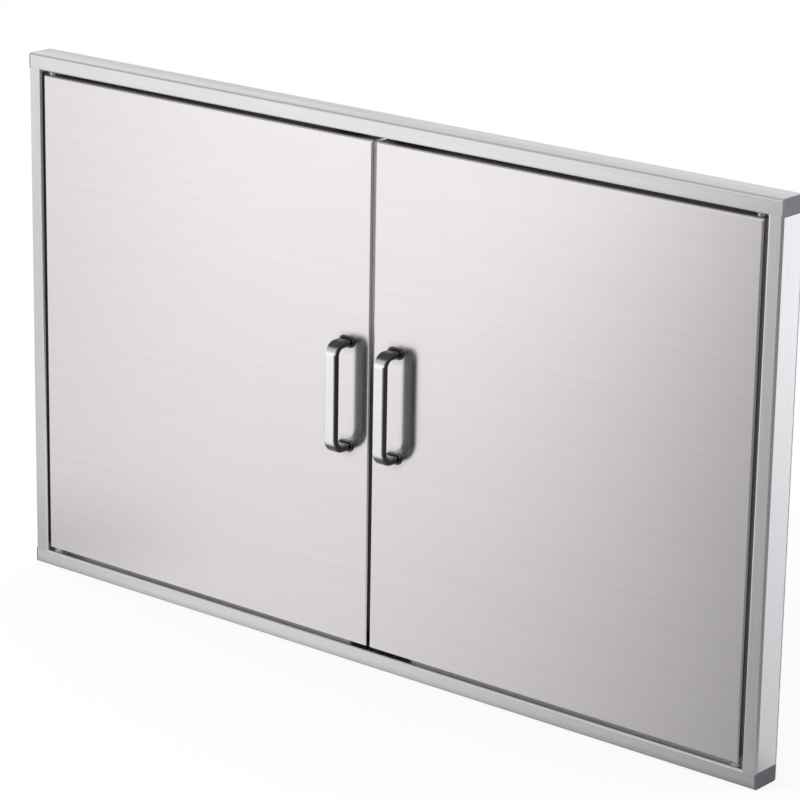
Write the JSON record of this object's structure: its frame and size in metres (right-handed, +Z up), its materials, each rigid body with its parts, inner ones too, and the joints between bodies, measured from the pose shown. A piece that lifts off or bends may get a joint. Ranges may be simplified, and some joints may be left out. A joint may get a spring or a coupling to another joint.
{
  "type": "double access door",
  "caption": "Double access door for an outdoor kitchen island: tube frame with a fixing sleeve, hinged double-walled doors on spring-pin pivots, D handles and magnetic catches.",
  "frame": {"origin": "centre of the doorway, on the plane where the frame's seat flange rests on the island's face", "axes": "+X to the right as one faces the doors, along the wide side; +Y into the island, square to its face; +Z up"},
  "size_m": [1.066, 0.0937, 0.636],
  "materials": {
    "frame_steel": "brushed along each tube",
    "door_steel": "finely brushed",
    "bright_steel": "polished",
    "plain_steel": "plain",
    "spring_steel": "drawn wire",
    "plug_plastic": "moulded, fine texture",
    "cover_plastic": "moulded",
    "catch_plastic": "moulded",
    "nylon": "moulded",
    "magnet": "sintered",
    "rubber": "matte"
  },
  "bodies": {
    "frame": {"bottom_rail": "frame_steel", "top_rail": "frame_steel", "left_stile": "frame_steel", "right_stile": "frame_steel", "bottom_left_end_plug": "plug_plastic", "bottom_right_end_plug": "plug_plastic", "top_left_end_plug": "plug_plastic", "top_right_end_plug": "plug_plastic", "seat_flange": "frame_steel", "bottom_sleeve": "frame_steel", "top_sleeve": "frame_steel", "left_sleeve": "frame_steel", "right_sleeve": "frame_steel", "bottom_left_pivot_bush": "nylon", "bottom_right_pivot_bush": "nylon", "top_left_pivot_bush": "nylon", "top_right_pivot_bush": "nylon", "left_catch_housing": "catch_plastic", "left_catch_magnet": "magnet", "left_catch_poles": "plain_steel", "right_catch_housing": "catch_plastic", "right_catch_magnet": "magnet", "right_catch_poles": "plain_steel", "catch_screws": "plain_steel", "stop_angle": "frame_steel", "stop_bumpers": "rubber"},
    "left_door": {"left_door_skin": "door_steel", "left_door_liner": "door_steel", "left_handle": "bright_steel", "left_handle_collars": "bright_steel", "left_handle_screws": "plain_steel", "left_hole_covers": "cover_plastic", "left_strike_plate": "plain_steel", "left_strike_rivets": "plain_steel", "left_pivot_washers": "plain_steel", "left_lower_pivot_bracket": "plain_steel", "left_upper_pivot_bracket": "plain_steel", "left_lower_pivot_pin": "plain_steel", "left_pin_spring": "spring_steel"},
    "left_pin": {"left_spring_pin": "plain_steel", "left_pin_clip": "spring_steel"},
    "right_door": {"right_door_skin": "door_steel", "right_door_liner": "door_steel", "right_handle": "bright_steel", "right_handle_collars": "bright_steel", "right_handle_screws": "plain_steel", "right_hole_covers": "cover_plastic", "right_strike_plate": "plain_steel", "right_strike_rivets": "plain_steel", "right_pivot_washers": "plain_steel", "right_lower_pivot_bracket": "plain_steel", "right_upper_pivot_bracket": "plain_steel", "right_lower_pivot_pin": "plain_steel", "right_pin_spring": "spring_steel"},
    "right_pin": {"right_spring_pin": "plain_steel", "right_pin_clip": "spring_steel"}
  },
  "joints": [
    {"name": "left_door_hinge", "type": "hinge", "parent": "frame", "child": "left_door", "pos_m": [-0.5015, -0.0287, 0], "axis": [0, 0, -1], "range_deg": [0, 103]},
    {"name": "right_door_hinge", "type": "hinge", "parent": "frame", "child": "right_door", "pos_m": [0.5015, -0.0287, 0], "axis": [0, 0, 1], "range_deg": [0, 103]},
    {"name": "left_pin_slide", "type": "slide", "parent": "left_door", "child": "left_pin", "axis": [0, 0, -1], "range_m": [0, 0.008], "stiffness_N_per_m": 600, "springref_m": -0.008, "deforming": ["left_pin_spring"]},
    {"name": "right_pin_slide", "type": "slide", "parent": "right_door", "child": "right_pin", "axis": [0, 0, -1], "range_m": [0, 0.008], "stiffness_N_per_m": 600, "springref_m": -0.008, "deforming": ["right_pin_spring"]}
  ]
}
